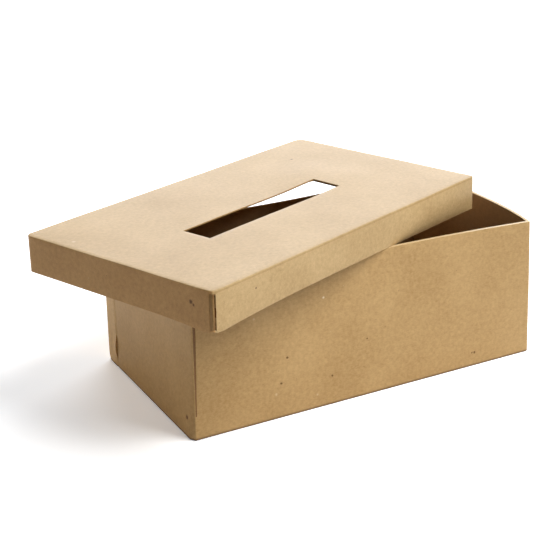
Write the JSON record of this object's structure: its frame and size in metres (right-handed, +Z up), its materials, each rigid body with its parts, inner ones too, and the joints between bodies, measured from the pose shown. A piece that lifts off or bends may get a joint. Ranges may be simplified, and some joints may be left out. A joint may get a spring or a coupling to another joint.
{
  "type": "tissue box",
  "caption": "Rectangular card tissue box covered in plain kraft paper: an open tray with drawn-in walls, and a loose slotted lid that lies askew on its top edge.",
  "frame": {"origin": "middle of the tray's bottom face, on the surface that the box stands on", "axes": "+X along the tray's length, +Y across the tray towards its back wall, +Z up"},
  "size_m": [0.3159, 0.2324, 0.117],
  "materials": {
    "kraft_card": "matt unprinted kraft paper over card"
  },
  "bodies": {
    "tray": {"tray": "kraft_card"},
    "lid": {"lid": "kraft_card"}
  },
  "joints": [
    {"name": "lid_lift", "type": "slide", "parent": "tray", "child": "lid", "axis": [0, 0, 1], "range_m": [0, 0.12]}
  ]
}
